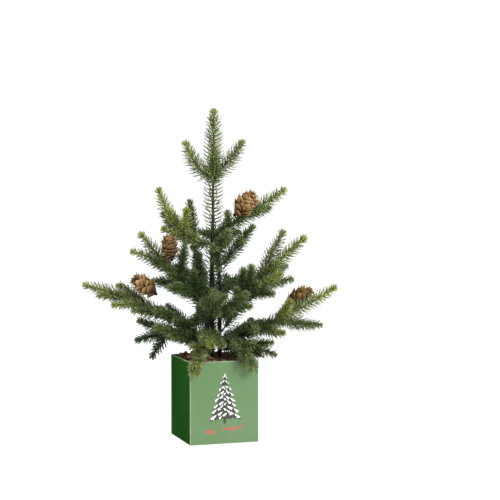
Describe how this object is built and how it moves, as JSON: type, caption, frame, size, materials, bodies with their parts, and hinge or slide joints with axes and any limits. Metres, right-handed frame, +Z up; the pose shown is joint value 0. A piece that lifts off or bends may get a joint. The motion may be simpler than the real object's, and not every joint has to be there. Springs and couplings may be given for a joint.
{
  "type": "artificial tabletop tree",
  "caption": "Small artificial spruce with wired branches, pine cones and bark chips in a square green wooden box.",
  "frame": {"origin": "centre of the box's underside, on the surface it stands on", "axes": "+Z up along the trunk to the crown, -Y towards the printed front of the box, +X to the viewer's right when facing it"},
  "size_m": [0.3335, 0.2344, 0.458],
  "materials": {
    "green_paint": "satin",
    "green_paint_side": "satin",
    "raw_board": "matte",
    "plaster": "matte",
    "foam": "matte",
    "bark": "matte",
    "stem_wrap": "matte",
    "wire_wrap": "matte",
    "needles": "satin",
    "needles_light": "satin",
    "cone_scale": "matte"
  },
  "bodies": {
    "base": {"box_front": "green_paint", "box_back": "green_paint", "box_left": "green_paint_side", "box_right": "green_paint_side", "box_base": "raw_board", "plaster_weight": "plaster", "foam_block": "foam", "bark_chips": "bark", "stem_main": "stem_wrap", "stem_right": "stem_wrap", "stem_rear": "stem_wrap"},
    "upper_left": {"upper_left_wire": "wire_wrap", "upper_left_spray": "needles_light"},
    "upper_right": {"upper_right_wire": "wire_wrap", "upper_right_spray": "needles_light", "cone_upper_right": "cone_scale"},
    "upper_front": {"upper_front_wire": "wire_wrap", "upper_front_spray": "needles"},
    "upper_back": {"upper_back_wire": "wire_wrap", "upper_back_spray": "needles"},
    "right_high": {"right_high_wire": "wire_wrap", "right_high_spray": "needles"},
    "mid_left": {"mid_left_wire": "wire_wrap", "mid_left_spray": "needles", "cone_mid_left": "cone_scale"},
    "mid_right": {"mid_right_wire": "wire_wrap", "mid_right_spray": "needles_light"},
    "mid_front": {"mid_front_wire": "wire_wrap", "mid_front_spray": "needles"},
    "mid_front_right": {"mid_front_right_wire": "wire_wrap", "mid_front_right_spray": "needles"},
    "mid_back_left": {"mid_back_left_wire": "wire_wrap", "mid_back_left_spray": "needles"},
    "mid_back": {"mid_back_wire": "wire_wrap", "mid_back_spray": "needles"},
    "low_left": {"low_left_wire": "wire_wrap", "low_left_spray": "needles", "cone_low_left": "cone_scale"},
    "low_left_back": {"low_left_back_wire": "wire_wrap", "low_left_back_spray": "needles"},
    "low_left_front": {"low_left_front_wire": "wire_wrap", "low_left_front_spray": "needles"},
    "low_back": {"low_back_wire": "wire_wrap", "low_back_spray": "needles"},
    "low_right_back": {"low_right_back_wire": "wire_wrap", "low_right_back_spray": "needles"},
    "low_right": {"low_right_wire": "wire_wrap", "low_right_spray": "needles", "cone_low_right": "cone_scale"},
    "low_right_rim": {"low_right_rim_wire": "wire_wrap", "low_right_rim_spray": "needles"},
    "front_left_rim": {"front_left_rim_wire": "wire_wrap", "front_left_rim_spray": "needles"},
    "front_centre": {"front_centre_wire": "wire_wrap", "front_centre_spray": "needles"},
    "front_right_rim": {"front_right_rim_wire": "wire_wrap", "front_right_rim_spray": "needles"},
    "crown": {"crown_wire": "wire_wrap", "crown_spray": "needles_light"}
  },
  "joints": [
    {"name": "upper_left_bend", "type": "hinge", "parent": "base", "child": "upper_left", "pos_m": [-0.00595, 0.00212, 0.272], "axis": [0.309, 0.9511, 0], "range_deg": [-12, 20]},
    {"name": "upper_right_bend", "type": "hinge", "parent": "base", "child": "upper_right", "pos_m": [0.00244, -0.0011, 0.283], "axis": [-0.4067, -0.9136, 0], "range_deg": [-10, 20]},
    {"name": "upper_front_bend", "type": "hinge", "parent": "base", "child": "upper_front", "pos_m": [-0.0025, -0.00384, 0.256], "axis": [-0.9986, -0.0523, 0], "range_deg": [-15, 18]},
    {"name": "upper_back_bend", "type": "hinge", "parent": "base", "child": "upper_back", "pos_m": [0.0002, 0.00461, 0.266], "axis": [0.7771, -0.6293, 0], "range_deg": [-15, 20]},
    {"name": "right_high_bend", "type": "hinge", "parent": "base", "child": "right_high", "pos_m": [0.01023, -0.00389, 0.243], "axis": [-0.4226, -0.9063, 0], "range_deg": [-15, 8]},
    {"name": "mid_left_bend", "type": "hinge", "parent": "base", "child": "mid_left", "pos_m": [-0.00943, 0.00268, 0.175], "axis": [0.225, 0.9744, 0], "range_deg": [-7, 7]},
    {"name": "mid_right_bend", "type": "hinge", "parent": "base", "child": "mid_right", "pos_m": [0.01155, -0.00416, 0.152], "axis": [-0.5, -0.866, 0], "range_deg": [-12, 12]},
    {"name": "mid_front_bend", "type": "hinge", "parent": "base", "child": "mid_front", "pos_m": [-0.00588, -0.00412, 0.173], "axis": [-0.9703, 0.2419, 0], "range_deg": [-15, 20]},
    {"name": "mid_front_right_bend", "type": "hinge", "parent": "base", "child": "mid_front_right", "pos_m": [0.00882, -0.00655, 0.17], "axis": [-0.9925, -0.1219, 0], "range_deg": [-15, 20]},
    {"name": "mid_back_left_bend", "type": "hinge", "parent": "base", "child": "mid_back_left", "pos_m": [-0.00548, 0.0062, 0.193], "axis": [0.9877, 0.1564, 0], "range_deg": [-12, 12]},
    {"name": "mid_back_bend", "type": "hinge", "parent": "base", "child": "mid_back", "pos_m": [0.00106, 0.01062, 0.196], "axis": [0.6018, -0.7986, 0], "range_deg": [-12, 12]},
    {"name": "low_left_bend", "type": "hinge", "parent": "base", "child": "low_left", "pos_m": [-0.01004, 0.00285, 0.139], "axis": [0.2588, 0.9659, 0], "range_deg": [-10, 7]},
    {"name": "low_left_back_bend", "type": "hinge", "parent": "base", "child": "low_left_back", "pos_m": [-0.0093, 0.00459, 0.132], "axis": [0.6018, 0.7986, 0], "range_deg": [-14, 15]},
    {"name": "low_left_front_bend", "type": "hinge", "parent": "base", "child": "low_left_front", "pos_m": [-0.01018, 0.00077, 0.136], "axis": [-0.0523, 0.9986, 0], "range_deg": [-15, 6]},
    {"name": "low_back_bend", "type": "hinge", "parent": "base", "child": "low_back", "pos_m": [-0.00111, 0.01269, 0.146], "axis": [0.9816, -0.1908, 0], "range_deg": [-15, 20]},
    {"name": "low_right_back_bend", "type": "hinge", "parent": "base", "child": "low_right_back", "pos_m": [0.01178, -0.00131, 0.142], "axis": [0.1392, -0.9903, 0], "range_deg": [-12, 20]},
    {"name": "low_right_bend", "type": "hinge", "parent": "base", "child": "low_right", "pos_m": [0.01165, -0.00395, 0.134], "axis": [-0.3746, -0.9272, 0], "range_deg": [-10, 6]},
    {"name": "low_right_rim_bend", "type": "hinge", "parent": "base", "child": "low_right_rim", "pos_m": [0.01132, -0.00466, 0.124], "axis": [-0.3907, -0.9205, 0], "range_deg": [-10, 10]},
    {"name": "front_left_rim_bend", "type": "hinge", "parent": "base", "child": "front_left_rim", "pos_m": [-0.00867, -0.00263, 0.135], "axis": [-0.866, 0.5, 0], "range_deg": [0, 15]},
    {"name": "front_centre_bend", "type": "hinge", "parent": "base", "child": "front_centre", "pos_m": [-0.00645, -0.00417, 0.147], "axis": [-0.9613, 0.2756, 0], "range_deg": [-12, 20]},
    {"name": "front_right_rim_bend", "type": "hinge", "parent": "base", "child": "front_right_rim", "pos_m": [0.00909, -0.00659, 0.138], "axis": [-0.9272, -0.3746, 0], "range_deg": [-5, 15]},
    {"name": "crown_bend", "type": "hinge", "parent": "base", "child": "crown", "pos_m": [-0.0015, 0.0005, 0.2894], "axis": [0.3149, 0.9491, 0], "range_deg": [-15, 15]}
  ]
}
